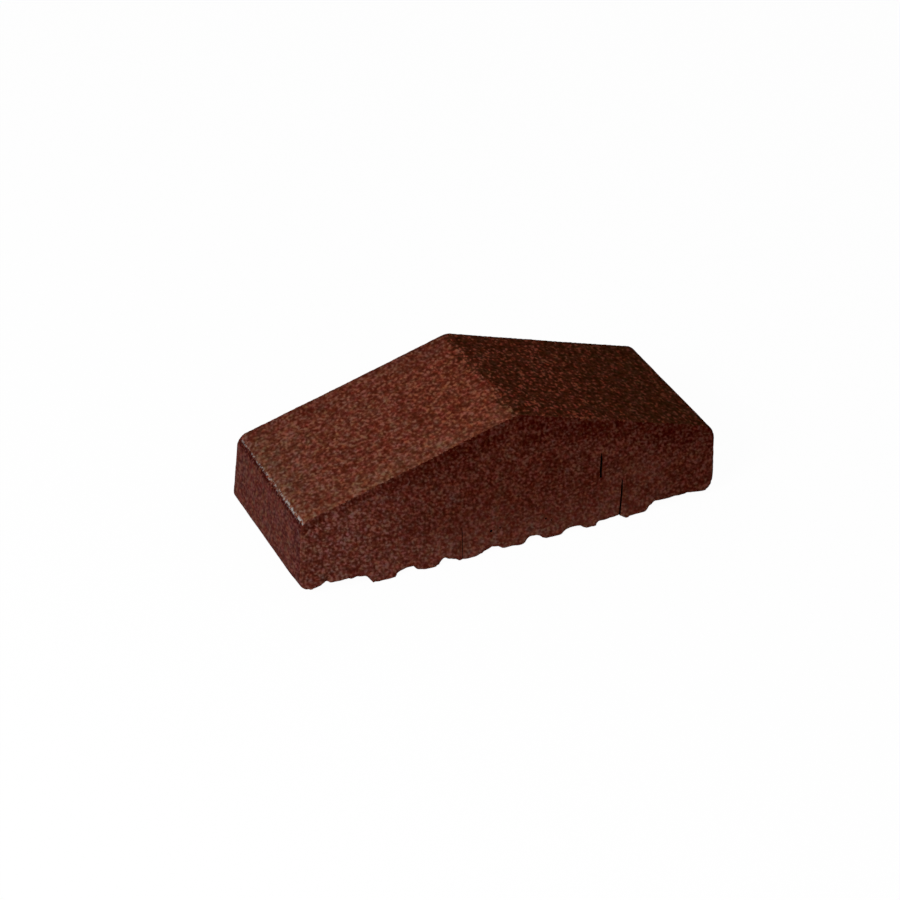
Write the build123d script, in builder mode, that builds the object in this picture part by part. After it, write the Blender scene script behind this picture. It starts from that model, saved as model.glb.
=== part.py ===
from build123d import *

# Glazed profiled coping brick, 180/120 x 65 x 58 mm. It is one fired piece, extruded to a gabled section
# and cut off with wires. It lies across the top of a wall: X runs across the wall, Y along it, Z up. The
# origin is at the middle of the bedding side, on the plane that the keying ribs stand on. All sizes are in
# millimetres.

import os
from math import asin, atan2, degrees, hypot, tan

# The whole brick.
WALL_WIDTH = 120.0  # length of the ribbed bedding side, as wide as the wall below
OVERHANG = 30.0  # how far each end reaches past the wall
DEPTH = 65.0  # along the wall, between the two wire-cut faces
EAVE_HEIGHT = 32.0  # bedding plane to the sharp eave arris, before it is rounded
GABLE_RISE = 26.0  # eave arris to the rounded ridge

# Keying ribs and grooves of the bedding side. Each groove is steep on its left and gentle on its right.
RIB_COUNT = 7
GROOVE_DEPTH = 2.5
GROOVE_ROOF = 3.9  # flat width at the deepest part of a groove
STEEP_RUN = 2.2  # sideways run of the steep flank
GENTLE_RUN = 3.4  # sideways run of the gentle flank
RIB_RADIUS = 0.7  # rounding of the ribs, the grooves and the shoulders

# Underside of the two overhangs: shoulder, soffit, drip groove and drip lip.
SOFFIT_HEIGHT = 4.3  # above the bedding plane
SHOULDER_RUN = 2.8  # sideways run of the slant between bedding plane and soffit
LIP_WIDTH = 7.5
LIP_DROP = 0.5  # how far the lip hangs below the soffit
DRIP_WIDTH = 3.6
DRIP_DEPTH = 0.8  # above the soffit

# Roundings that the die gives the outside of the section, and the softened arris that the wire leaves.
RIDGE_RADIUS = 6.0
EAVE_RADIUS = 3.0
FOOT_RADIUS = 3.0
ARRIS_RADIUS = 0.4

# Sizes that follow from the ones above.
HALF_WALL = WALL_WIDTH / 2
HALF_LENGTH = HALF_WALL + OVERHANG
HEIGHT = EAVE_HEIGHT + GABLE_RISE
ARC_RISE = GABLE_RISE - RIDGE_RADIUS
ARC_DISTANCE = hypot(HALF_LENGTH, ARC_RISE)
SLOPE = atan2(ARC_RISE, HALF_LENGTH) + asin(RIDGE_RADIUS / ARC_DISTANCE)
SHARP_RIDGE = EAVE_HEIGHT + HALF_LENGTH * tan(SLOPE)  # where the slopes meet, above the rounded ridge
GROOVE_MOUTH = STEEP_RUN + GROOVE_ROOF + GENTLE_RUN
RIB_FOOT = (WALL_WIDTH - (RIB_COUNT - 1) * GROOVE_MOUTH) / RIB_COUNT
RIB_PITCH = RIB_FOOT + GROOVE_MOUTH
SHOULDER = HALF_WALL + SHOULDER_RUN
LIP_START = HALF_LENGTH - LIP_WIDTH
LIP_HEIGHT = SOFFIT_HEIGHT - LIP_DROP
DRIP_RADIUS = (DRIP_WIDTH**2 / 4 + DRIP_DEPTH**2) / (2 * DRIP_DEPTH)
DRIP_PLACE = (LIP_START - DRIP_WIDTH / 2, SOFFIT_HEIGHT + DRIP_DEPTH - DRIP_RADIUS)
TOLERANCE = 0.001  # for finding corners by their place


def corners(sketch: BuildSketch, level: float, innermost: float, outermost: float) -> ShapeList:
    """Corners of the section on one level, between two distances from its middle."""
    on_level = sketch.vertices().filter_by_position(Axis.Y, level - TOLERANCE, level + TOLERANCE)
    return on_level.filter_by(lambda corner: innermost - TOLERANCE <= abs(corner.X) <= outermost + TOLERANCE)


with BuildPart() as coping_brick:
    with BuildSketch(Plane.XZ) as section:
        # Right half of the gabled outline, from the ridge down to the bedding plane, and its mirror image.
        with BuildLine():
            Polyline(
                (0, SHARP_RIDGE),
                (HALF_LENGTH, EAVE_HEIGHT),
                (HALF_LENGTH, LIP_HEIGHT),
                (LIP_START, LIP_HEIGHT),
                (LIP_START, SOFFIT_HEIGHT),
                (SHOULDER, SOFFIT_HEIGHT),
                (HALF_WALL, 0),
                (0, 0),
                close=True,
            )
        make_face()
        mirror(about=Plane.YZ)

        # Keying grooves between the ribs.
        with GridLocations(RIB_PITCH, 0, RIB_COUNT - 1, 1):
            Polygon(
                (-GROOVE_MOUTH / 2, 0),
                (-GROOVE_MOUTH / 2 + STEEP_RUN, GROOVE_DEPTH),
                (GROOVE_MOUTH / 2 - GENTLE_RUN, GROOVE_DEPTH),
                (GROOVE_MOUTH / 2, 0),
                align=None,
                mode=Mode.SUBTRACT,
            )
        fillet(corners(section, 0, 0, HALF_WALL), RIB_RADIUS)
        fillet(corners(section, GROOVE_DEPTH, 0, HALF_WALL), RIB_RADIUS)
        fillet(corners(section, SOFFIT_HEIGHT, HALF_WALL, SHOULDER), RIB_RADIUS)

        # Drip grooves, each a shallow arc that ends at the lip.
        drip_x, drip_z = DRIP_PLACE
        with Locations((-drip_x, drip_z), (drip_x, drip_z)):
            Circle(DRIP_RADIUS, mode=Mode.SUBTRACT)

        # Roundings of the ridge, the eaves and the ends' lower corners.
        fillet(corners(section, SHARP_RIDGE, 0, 0), RIDGE_RADIUS)
        fillet(corners(section, EAVE_HEIGHT, HALF_LENGTH, HALF_LENGTH), EAVE_RADIUS)
        fillet(corners(section, LIP_HEIGHT, HALF_LENGTH, HALF_LENGTH), FOOT_RADIUS)
    extrude(amount=DEPTH / 2, both=True)

    # Softened arrises where the two wire-cut faces meet the extruded sides.
    fillet(coping_brick.faces().filter_by(Axis.Y).edges(), ARRIS_RADIUS)

coping_brick.part.label = "coping_brick"

os.makedirs("parts", exist_ok=True)
export_step(coping_brick.part, "parts/coping_brick.step")

print(f"coping_brick: {2 * HALF_LENGTH:.0f} x {DEPTH:.0f} x {HEIGHT:.0f} mm")
print(f"slopes of {degrees(SLOPE):.1f} degrees")
print(f"{RIB_COUNT} ribs, {RIB_FOOT:.1f} mm wide at the foot, every {RIB_PITCH:.1f} mm")
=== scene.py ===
"""Looks of a glazed saddleback coping brick, shaped and dressed over its solid frame.

The brick is made as its maker makes it: a blank is rounded, profiled, knocked about and warped, and then
fired, worn and cracked. All lengths are in metres, in the frame's axes: X across the wall, Y along it and
Z up.
"""

import logging
import math
import random
from collections.abc import Callable, Iterable, Iterator
from contextlib import contextmanager
from dataclasses import dataclass, field
from enum import Enum, auto
from functools import reduce

import bmesh
import bpy
from mathutils import Matrix, Vector


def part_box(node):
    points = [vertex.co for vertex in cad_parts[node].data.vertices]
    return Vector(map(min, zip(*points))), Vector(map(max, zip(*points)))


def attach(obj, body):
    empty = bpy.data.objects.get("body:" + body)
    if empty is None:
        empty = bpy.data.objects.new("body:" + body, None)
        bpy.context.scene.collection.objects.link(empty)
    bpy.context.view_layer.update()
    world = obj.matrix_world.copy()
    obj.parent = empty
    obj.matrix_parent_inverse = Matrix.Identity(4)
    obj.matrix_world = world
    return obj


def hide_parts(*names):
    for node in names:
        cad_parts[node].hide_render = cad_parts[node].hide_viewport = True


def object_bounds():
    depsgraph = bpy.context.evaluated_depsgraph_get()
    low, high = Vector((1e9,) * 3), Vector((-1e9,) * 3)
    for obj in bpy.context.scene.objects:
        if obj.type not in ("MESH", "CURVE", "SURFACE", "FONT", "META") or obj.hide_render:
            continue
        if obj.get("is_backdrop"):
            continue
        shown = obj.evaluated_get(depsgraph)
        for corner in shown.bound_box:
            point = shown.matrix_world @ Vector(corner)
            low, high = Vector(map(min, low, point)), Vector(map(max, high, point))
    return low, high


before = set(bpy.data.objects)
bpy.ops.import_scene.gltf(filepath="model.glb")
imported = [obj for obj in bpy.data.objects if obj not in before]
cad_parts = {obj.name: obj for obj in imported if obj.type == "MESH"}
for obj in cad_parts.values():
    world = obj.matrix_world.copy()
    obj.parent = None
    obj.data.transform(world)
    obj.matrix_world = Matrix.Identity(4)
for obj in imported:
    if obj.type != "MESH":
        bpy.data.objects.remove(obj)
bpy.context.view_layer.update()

log = logging.getLogger("coping_brick")

MM = 0.001
NEARLY = 0.01 * MM
NODE = "coping_brick"

Triple = tuple[float, float, float]
Colour = Triple
Corner = tuple[float, float]
Piece = bpy.types.Object
Part = bmesh.types.BMVert | bmesh.types.BMEdge | bmesh.types.BMFace
Tree = bpy.types.NodeTree
Socket = bpy.types.NodeSocket
Outputs = bpy.types.NodeOutputs
Feed = float | int | tuple | Socket
Feeds = dict[str | int, Feed]


class Side(Enum):
    """The kinds of surface that the brick has, in the order of its material slots."""

    # the left slope: the lit copy of the glaze
    SUNNY_SLOPE = 0
    # the right slope: the shaded copy of the glaze, darkened partly by the key light and partly by painted
    # shade
    FLASHED_SLOPE = 1
    END = 2
    CUT = 3
    BED = 4
    # its slot is painted near-black, as shade inside the cracks and pits
    CRACK = 5


def deselect_all() -> None:
    """Leave nothing selected and no mode open, so that the next operator acts on its own piece alone."""
    if bpy.context.object and bpy.context.object.mode != "OBJECT":
        bpy.ops.object.mode_set(mode="OBJECT")
    bpy.ops.object.select_all(action="DESELECT")


def pick(piece: Piece) -> None:
    """Make one object the only selected one, and the active one.

    Args:
        piece: The object to act on next.
    """
    deselect_all()
    piece.select_set(True)
    bpy.context.view_layer.objects.active = piece


@contextmanager
def editing(piece: Piece, kind: str) -> Iterator[None]:
    """Hold a piece in edit mode for a while.

    Args:
        piece: The object to edit.
        kind: What is selected there: VERT, EDGE or FACE.
    """
    pick(piece)
    bpy.ops.object.mode_set(mode="EDIT")
    bpy.ops.mesh.select_mode(type=kind)
    try:
        yield
    finally:
        bpy.ops.object.mode_set(mode="OBJECT")


def choose(piece: Piece, kind: str, test: Callable[[Part], bool]) -> None:
    """Select the vertices, edges or faces of the edited piece that pass a test.

    Args:
        piece: The object, in edit mode.
        kind: verts, edges or faces.
        test: Says whether one of them is wanted.
    """
    mesh = bmesh.from_edit_mesh(piece.data)
    bpy.ops.mesh.select_all(action="DESELECT")
    for part in getattr(mesh, kind):
        if test(part):
            part.select_set(True)
    mesh.select_flush_mode()
    bmesh.update_edit_mesh(piece.data)


def settle(piece: Piece) -> None:
    """Put a piece's place, turn and scale into its mesh."""
    pick(piece)
    bpy.ops.object.transform_apply(location=True, rotation=True, scale=True)


def add_block(middle: Triple, sides: Triple) -> Piece:
    """Add a box and settle it.

    Args:
        middle: Where its middle is.
        sides: How long its sides are.

    Returns:
        The box.
    """
    deselect_all()
    bpy.ops.mesh.primitive_cube_add(size=1.0, location=middle, scale=sides)
    block = bpy.context.object
    settle(block)
    return block


def slice_through(place: Triple, normal: Triple, **settings: bool) -> None:
    """Divide the whole edited piece along a plane."""
    bpy.ops.mesh.select_all(action="SELECT")
    bpy.ops.mesh.bisect(plane_co=place, plane_no=normal, **settings)


def add_modifier(piece: Piece, kind: str, **settings: object) -> None:
    """Add one modifier to a piece, set it and apply it.

    Args:
        piece: The object to change.
        kind: The modifier's type.
        **settings: Its properties.
    """
    pick(piece)
    modifier = piece.modifiers.new(kind.lower(), kind)
    for name, value in settings.items():
        setattr(modifier, name, value)
    bpy.ops.object.modifier_apply(modifier=modifier.name)


def join(pieces: list[Piece], name: str) -> Piece:
    """Join several objects into one.

    Args:
        pieces: The objects, at least two.
        name: The joined object's name.

    Returns:
        The joined object.
    """
    pick(pieces[0])
    for piece in pieces[1:]:
        piece.select_set(True)
    bpy.ops.object.join()
    pieces[0].name = name
    return pieces[0]


def in_metres(corners: Iterable[Corner]) -> list[Corner]:
    """Turn corners in millimetres into corners in metres."""
    return [(place * MM, height * MM) for place, height in corners]


def height_at(corners: list[Corner], place: float) -> float:
    """Read a profile's height between its corners.

    Args:
        corners: Places and heights, from left to right.
        place: Where it is read.

    Returns:
        The height there.
    """
    for (start, low), (end, high) in zip(corners, corners[1:]):
        if start <= place <= end and end > start:
            return low + (high - low) * (place - start) / (end - start)
    return corners[0][1] if place < corners[0][0] else corners[-1][1]


@dataclass(frozen=True)
class Section:
    """The brick's section and its length, with the maker's sizes.

    The feet are the rounded lower corners of the ends: how far they reach along the brick, and how high.
    """

    length: float
    depth: float
    height: float
    bed_length: float = 120 * MM
    eave_height: float = 32 * MM
    soffit_height: float = 4.3 * MM
    shoulder_run: float = 2.8 * MM
    rib_count: int = 7
    groove_depth: float = 2.5 * MM
    groove_roof: float = 3.9 * MM
    steep_run: float = 2.2 * MM
    gentle_run: float = 3.4 * MM
    lip_width: float = 7.5 * MM
    lip_drop: float = 0.5 * MM
    lip_step: float = 0.4 * MM
    drip_width: float = 3.6 * MM
    drip_depth: float = 0.8 * MM
    ridge_radius: float = 6 * MM
    left_eave_radius: float = 5 * MM
    right_eave_radius: float = 6.8 * MM
    foot: Corner = (3.5 * MM, 4.0 * MM)
    left_worn_foot: Corner = (5 * MM, 5 * MM)
    right_worn_foot: Corner = (3.6 * MM, 8.5 * MM)
    foot_steps: int = 4
    drip_steps: tuple[float, ...] = (0.0, 0.15, 0.35, 0.65, 0.85)

    @property
    def half(self) -> float:
        """Half of the brick's length."""
        return self.length / 2

    @property
    def slope(self) -> float:
        """Angle of the weathered faces above the level, in radians."""
        rise = self.height - self.ridge_radius - self.eave_height
        return math.atan2(rise, self.half) + math.asin(self.ridge_radius / math.hypot(self.half, rise))

    @property
    def sharp_ridge(self) -> float:
        """Height at which the two slopes would meet."""
        return self.eave_height + self.half * math.tan(self.slope)

    @property
    def lip_height(self) -> float:
        """Height of the drip lips above the bedding plane."""
        return self.soffit_height - self.lip_drop

    def grooves(self) -> list[Corner]:
        """List the corners of the regular keying grooves.

        Returns:
            Four corners for each groove, from left to right.
        """
        mouth = self.steep_run + self.groove_roof + self.gentle_run
        pitch = (self.bed_length + mouth) / self.rib_count
        corners = []
        for number in range(self.rib_count - 1):
            start = (number - (self.rib_count - 2) / 2) * pitch - mouth / 2
            end = start + mouth
            corners += [(start, 0.0), (start + self.steep_run, self.groove_depth)]
            corners += [(end - self.gentle_run, self.groove_depth), (end, 0.0)]
        return corners

    def overhang(self) -> list[Corner]:
        """List the corners of the right overhang's underside.

        Returns:
            The corners from the bed outwards, with the drip groove's arc.
        """
        lip = self.half - self.lip_width
        arc = []
        for share in self.drip_steps:
            sag = self.drip_depth * 4 * share * (1 - share)
            arc.append((lip - self.drip_width * (1 - share), self.soffit_height + sag))
        return [
            (self.bed_length / 2, 0.0),
            (self.bed_length / 2 + self.shoulder_run, self.soffit_height),
            *arc,
            (lip + self.lip_step, self.lip_height),
            (self.half, self.lip_height),
        ]

    def underside(self) -> list[Corner]:
        """List every corner of the regular underside.

        Returns:
            The corners from the left end to the right end.
        """
        right = self.overhang()
        left = [(-place, height) for place, height in reversed(right)]
        return left + self.grooves() + right

    def foot_places(self) -> list[float]:
        """List where the rounded lower corners of the ends are divided.

        Returns:
            Places along the brick.
        """
        widths = {self.foot[0], self.left_worn_foot[0], self.right_worn_foot[0]}
        turns = [math.radians(90.0 * step / self.foot_steps) for step in range(1, self.foot_steps + 1)]
        insets = [width * (1 - math.cos(turn)) for width in widths for turn in turns]
        return [side * (self.half - inset) for side in (-1, 1) for inset in insets]

    def foot_height(self, place: float, worn: bool) -> float:
        """Height of the rounded lower corners of the ends, which are parts of ellipses.

        Args:
            place: Where it is read, along the brick.
            worn: Whether it is on the front face, where the corners are worn.

        Returns:
            The height there, or 0 where the rounding has ended.
        """
        worn_foot = self.left_worn_foot if place < 0 else self.right_worn_foot
        width, height = worn_foot if worn else self.foot
        share = 1 - (self.half - abs(place)) / width
        if share <= 0.0:
            return 0.0
        return (1 - math.sqrt(max(0.0, 1 - share**2))) * height + self.lip_height


@dataclass(frozen=True)
class TornEdge:
    """The lower edge of a cut face as the wire left it: each rib and each overhang has a shape of its own.

    All sizes are in millimetres, as pairs of a place along the brick and a height.
    """

    left_overhang: tuple[Corner, ...]
    ribs: tuple[tuple[Corner, ...], ...]
    right_overhang: tuple[Corner, ...]

    def corners(self) -> list[Corner]:
        """All of the edge's corners from left to right, in metres."""
        whole = [*self.left_overhang, *(corner for rib in self.ribs for corner in rib), *self.right_overhang]
        return in_metres(whole)


@dataclass(frozen=True)
class Post:
    """How one upright of the warping cage moves.

    Its foot and its top go outwards along the brick, its top goes up and leans towards the back, and its foot
    sinks. Half way up it leans half as far. There an upright at an end is lifted as far as at its top, and
    one below the ridge half as far.
    """

    foot_out: float = 0.0
    top_out: float = 0.0
    lift: float = 0.0
    lean: float = 0.0
    sink: float = 0.0


@dataclass(frozen=True)
class Warp:
    """How drying and firing pulled this brick out of square: six uprights, by end and by face.

    An end is -1 on the left, 0 in the middle and 1 on the right. A face is -1 in front and 1 at the back.
    """

    posts: dict[tuple[int, int], Post]

    def shift(self, end: int, face: int, level: int) -> Vector:
        """Say how far a corner of the cage moves.

        Args:
            end: The end that it is at.
            face: The face that it is at.
            level: 0 at the bed, 1 at half height, 2 at the ridge.

        Returns:
            The move.
        """
        post = self.posts[end, face]
        if level == 0:
            return Vector((end * post.foot_out, 0.0, -post.sink))
        rise = level / 2 if end == 0 else 1.0
        return Vector((end * post.top_out, post.lean * level / 2, post.lift * rise))

    def run(self, end: int, size: str, depth: float) -> tuple[float, float]:
        """Say what a size of an end's uprights is half way to the back, and how much it grows per metre."""
        front, back = (getattr(self.posts[end, face], size) for face in (-1, 1))
        return (front + back) / 2, (back - front) / depth

    def apply(self, piece: Piece, section: Section) -> None:
        """Bend a piece with a lattice cage.

        Args:
            piece: The squared brick.
            section: Its sizes.
        """
        deselect_all()
        size = Vector((section.length, section.depth, section.sharp_ridge))
        bpy.ops.object.add(type="LATTICE", location=(0, 0, size.z / 2))
        cage = bpy.context.object
        cage.scale = size
        cage.data.points_u, cage.data.points_v, cage.data.points_w = 3, 2, 3
        for axis in "uvw":
            setattr(cage.data, f"interpolation_type_{axis}", "KEY_LINEAR")
        for point in cage.data.points:
            end, face, level = 2 * point.co.x, 2 * point.co.y, 2 * point.co.z + 1
            shift = self.shift(round(end), round(face), round(level))
            point.co_deform = point.co + Vector(move / side for move, side in zip(shift, size))
        add_modifier(piece, "LATTICE", object=cage)
        bpy.data.objects.remove(cage)


@dataclass(frozen=True)
class Chip:
    """A flake that is knocked out of the clay: its middle, its three radii and how it is turned about them.

    Its roughness is a share of its smallest radius.
    """

    place: Triple
    radii: Triple
    turn: float = 0.0
    seed: int = 1
    tilt: float = 0.3
    twist: float = 0.5
    roughness: float = 0.15

    def cutter(self) -> Piece:
        """Model the flake as a rough pebble that is cut away.

        Returns:
            The pebble.
        """
        deselect_all()
        turns = (self.tilt, self.turn, self.twist)
        bpy.ops.mesh.primitive_ico_sphere_add(
            subdivisions=2, radius=1.0, location=self.place, rotation=turns, scale=self.radii
        )
        pebble = bpy.context.object
        settle(pebble)
        with editing(pebble, "VERT"):
            bpy.ops.mesh.select_all(action="SELECT")
            bpy.ops.transform.vertex_random(offset=self.roughness * min(self.radii), seed=self.seed)
        return pebble


@dataclass(frozen=True)
class Crack:
    """A drying crack in a cut face: places along the brick with their heights, from its top to its foot.

    It starts at its top with a share of its width and soon has all of it. Its crookedness is a share too.
    """

    route: list[Corner]
    width: float
    depth: float
    seed: int
    steps: int = 12
    top_share: float = 0.35
    widening: float = 4.0
    crookedness: float = 0.2

    def cutter(self, face: float) -> Piece:
        """Model the crack as a thin crooked blade that stands through the cut face.

        Args:
            face: Where the cut face is along Y.

        Returns:
            The blade.
        """
        upward = sorted((height, place) for place, height in self.route)
        foot, top = upward[0][0], upward[-1][0]
        blade = add_block((0, face, (top + foot) / 2), (self.width, 2 * self.depth, top - foot))
        levels = [foot + (top - foot) * step / self.steps for step in range(1, self.steps)]
        with editing(blade, "VERT"):
            for level in levels:
                slice_through((0, 0, level), (0, 0, 1))
            for level in (foot, *levels, top):
                choose(blade, "verts", lambda corner: abs(corner.co.z - level) < NEARLY)
                bpy.ops.transform.translate(value=(height_at(upward, level), 0, 0))
                thin = min(1.0, self.top_share + self.widening * (top - level) / (top - foot))
                bpy.ops.transform.resize(value=(thin, 1.0, 1.0))
            bpy.ops.mesh.select_all(action="SELECT")
            bpy.ops.transform.vertex_random(offset=self.crookedness * self.width, seed=self.seed)
        return blade


@dataclass(frozen=True)
class Relief:
    """One layer of unevenness that the clay has on some of its sides."""

    name: str
    sides: tuple[Side, ...]
    grain: float
    height: float
    layers: int = 2

    def press(self, piece: Piece) -> None:
        """Press this layer into the mesh, along its normals.

        Args:
            piece: The brick, with a vertex group of this relief's name.
        """
        texture = bpy.data.textures.new(self.name, "CLOUDS")
        texture.noise_scale = self.grain
        texture.noise_depth = self.layers
        settings = {"texture": texture, "texture_coords": "LOCAL", "strength": self.height}
        add_modifier(piece, "DISPLACE", vertex_group=self.name, **settings)
        bpy.data.textures.remove(texture)


@dataclass
class BrickBody:
    """The brick's own piece, from the profiled blank to the fired and cracked surface.

    Corners that are closer than a touch count as one, and a corner is looked for within a spot. The bed, end
    and cut limits are shares of a face's normal, past which the face belongs to that side.
    """

    section: Section
    front_edge: TornEdge
    warp: Warp
    chips: tuple[Chip, ...]
    cracks: tuple[Crack, ...]
    pits: tuple[Chip, ...]
    reliefs: tuple[Relief, ...]
    torn_depth: float = 9 * MM
    torn_by: float = 0.45 * MM
    torn_aside: float = 0.4 * MM
    calm_end: float = 4 * MM
    arris_radius: float = 0.6 * MM
    arris_foot: float = 20 * MM
    voxel: float = 0.72 * MM
    touch: float = 0.02 * MM
    spot: float = 0.002 * MM
    wear_reach: float = 7 * MM
    wear_rounds: int = 5
    border_rounds: int = 3
    bed_limit: float = 0.3
    end_limit: float = 0.78
    cut_limit: float = 0.7
    crease: float = math.radians(55)
    piece: Piece = field(init=False)

    def build(self) -> Piece:
        """Make the whole piece.

        Returns:
            The brick, at the origin, with one material slot for each kind of side.
        """
        self.blank()
        self.round_section()
        self.profile_underside()
        self.round_arrises()
        self.knock_chips()
        self.warp.apply(self.piece, self.section)
        self.fire()
        self.crack()
        return self.piece

    def blank(self) -> None:
        """Add the clay column's box, and cut the two weathered slopes from it."""
        section, top = self.section, self.section.sharp_ridge
        self.piece = add_block((0, 0, top / 2), (section.length, section.depth, top))
        self.piece.name = "fired_brick"
        with editing(self.piece, "FACE"):
            for side in (-1, 1):
                outwards = (side * math.sin(section.slope), 0, math.cos(section.slope))
                slice_through((0, 0, top), outwards, clear_outer=True, use_fill=True)

    def back_edge(self) -> list[Corner]:
        """Tear the regular lower edge a little, for the back face.

        Returns:
            Its corners, from left to right.
        """
        dice = random.Random(19)
        corners = []
        for place, height in self.section.underside():
            torn = dice.uniform(-self.torn_by, self.torn_by)
            calm = abs(place) > self.section.half - self.calm_end
            sideways = 0.0 if calm else dice.uniform(-self.torn_aside, self.torn_aside)
            inside = abs(place) < self.section.half - self.touch
            corners.append((place + sideways, max(0.0, height + torn * (height > 0) * inside)))
        return corners

    def profile_underside(self) -> None:
        """Divide the underside at each of its corners, and raise the grooves, soffits and drip grooves."""
        section = self.section
        regular = section.underside()
        outer, inner = section.depth / 2, section.depth / 2 - self.torn_depth
        rows = {-outer: self.front_edge.corners(), -inner: regular, inner: regular, outer: self.back_edge()}
        divided = [place for row in rows.values() for place, _ in row] + section.foot_places()
        places = sorted({round(place, 5) for place in divided})
        with editing(self.piece, "VERT"):
            for cut in (-inner, inner):
                slice_through((0, cut, 0), (0, 1, 0))
            for place in places:
                if abs(place) < section.half - self.touch:
                    slice_through((place, 0, 0), (1, 0, 0))
            for row, corners in rows.items():
                for place in places:
                    foot = section.foot_height(place, row == -outer)
                    self.raise_corner(place, row, max(height_at(corners, place), foot))

    def raise_corner(self, place: float, row: float, height: float) -> None:
        """Lift one corner of the underside.

        Args:
            place: Where it is along the brick.
            row: Where it is along the wall.
            height: How high it goes.
        """
        if height < self.touch:
            return
        flat = Vector((place, row, 0.0))
        choose(self.piece, "verts", lambda corner: (corner.co - flat).length < self.spot)
        bpy.ops.transform.translate(value=(0, 0, height))

    def round_section(self) -> None:
        """Round the ridge and the eaves."""
        section = self.section
        eave_turn = math.pi / 2 - section.slope
        bend = math.tan(eave_turn / 2)
        rounds = (
            (0.0, section.sharp_ridge, section.ridge_radius * math.tan(section.slope), 4),
            (-section.half, section.eave_height, section.left_eave_radius * bend, 6),
            (section.half, section.eave_height, section.right_eave_radius * bend, 6),
        )
        for place, height, offset, segments in rounds:
            with editing(self.piece, "EDGE"):
                choose(
                    self.piece,
                    "edges",
                    lambda edge: all(
                        abs(corner.co.x - place) < self.touch and abs(corner.co.z - height) < self.touch
                        for corner in edge.verts
                    ),
                )
                bpy.ops.mesh.bevel(offset=offset, segments=segments)

    def round_arrises(self) -> None:
        """Round the arrises between the cut faces and the glazed sides."""
        reach = self.section.half - self.section.foot[0] - self.touch
        with editing(self.piece, "EDGE"):
            choose(
                self.piece,
                "edges",
                lambda edge: sum(abs(face.normal.y) > 0.9 for face in edge.link_faces) == 1
                and all(corner.co.z > self.arris_foot or abs(corner.co.x) > reach for corner in edge.verts),
            )
            bpy.ops.mesh.bevel(offset=self.arris_radius, segments=3)

    def knock_chips(self) -> None:
        """Cut the chips from the arrises."""
        pebbles = join([chip.cutter() for chip in self.chips], "pebbles")
        self.cut_away(pebbles, solver="EXACT", use_self=True)

    def fire(self) -> None:
        """Turn the blank into an even fine mesh, soften it and press the reliefs into its sides."""
        pick(self.piece)
        bpy.ops.object.duplicate()
        shape = bpy.context.object
        add_modifier(self.piece, "REMESH", mode="VOXEL", voxel_size=self.voxel)
        add_modifier(self.piece, "SHRINKWRAP", target=shape, wrap_method="NEAREST_SURFACEPOINT")
        add_modifier(self.piece, "SMOOTH", factor=0.5, iterations=1)
        bpy.data.objects.remove(shape)
        self.wear_corner()
        self.name_sides()
        for relief in self.reliefs:
            wanted = {side.value for side in relief.sides}
            self.group(relief.name, "faces", lambda face: face.material_index in wanted)
            relief.press(self.piece)
        self.piece.vertex_groups.clear()

    def wear_corner(self) -> None:
        """Wear the lower left corner of the front face round."""
        corner = Vector((-self.section.half, -self.section.depth / 2, self.section.lip_height))
        self.group("worn", "verts", lambda point: (point.co - corner).length < self.wear_reach)
        add_modifier(self.piece, "SMOOTH", factor=0.5, iterations=self.wear_rounds, vertex_group="worn")

    def group(self, name: str, kind: str, test: Callable[[Part], bool]) -> None:
        """Collect some of the mesh in a vertex group with soft borders.

        Args:
            name: The group's name.
            kind: verts or faces.
            test: Says whether one of them is wanted.
        """
        with editing(self.piece, "VERT" if kind == "verts" else "FACE"):
            choose(self.piece, kind, test)
            bpy.ops.object.vertex_group_assign_new()
            self.piece.vertex_groups.active.name = name
            bpy.ops.mesh.select_all(action="SELECT")
            rounds = self.border_rounds
            bpy.ops.object.vertex_group_smooth(group_select_mode="ACTIVE", factor=0.5, repeat=rounds)

    def crack(self) -> None:
        """Open the cracks and pits of the front face, with their own slot for the painted shade inside them,
        and smooth the shading.
        """
        front = -self.section.depth / 2
        cutters = [crack.cutter(front) for crack in self.cracks] + [pit.cutter() for pit in self.pits]
        blades = join(cutters, "blades")
        blades.data.materials.append(bpy.data.materials.new(Side.CRACK.name.lower()))
        self.cut_away(blades, solver="MANIFOLD", material_mode="TRANSFER")
        self.clean_rims()
        pick(self.piece)
        bpy.ops.object.shade_smooth_by_angle(angle=self.crease)

    def clean_rims(self) -> None:
        """Clear the needle faces along the rims of the cracks, so that the mesh stays one closed shell."""
        with editing(self.piece, "FACE"):
            bpy.ops.mesh.select_all(action="SELECT")
            bpy.ops.mesh.dissolve_degenerate(threshold=self.touch)
            choose(self.piece, "faces", lambda face: len(face.verts) > 4)
            bpy.ops.mesh.quads_convert_to_tris(ngon_method="BEAUTY")
            bpy.ops.mesh.dissolve_degenerate(threshold=self.touch)

    def cut_away(self, cutter: Piece, **settings: object) -> None:
        """Cut a shape out of the brick and throw the shape away."""
        add_modifier(self.piece, "BOOLEAN", object=cutter, operation="DIFFERENCE", **settings)
        bpy.data.objects.remove(cutter)

    def name_sides(self) -> None:
        """Give each face the material slot of the side it is on, by where it looks."""
        for side in list(Side)[:-1]:
            self.piece.data.materials.append(bpy.data.materials.new(side.name.lower()))
        tests = {
            Side.FLASHED_SLOPE: lambda face: face.calc_center_median().x > 0.0,
            Side.BED: lambda face: face.normal.z < self.bed_limit,
            Side.END: self.on_end,
            Side.CUT: lambda face: abs(face.normal.y) > self.cut_limit,
        }
        for side, test in tests.items():
            with editing(self.piece, "FACE"):
                choose(self.piece, "faces", test)
                self.piece.active_material_index = side.value
                bpy.ops.object.material_slot_assign()

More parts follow.
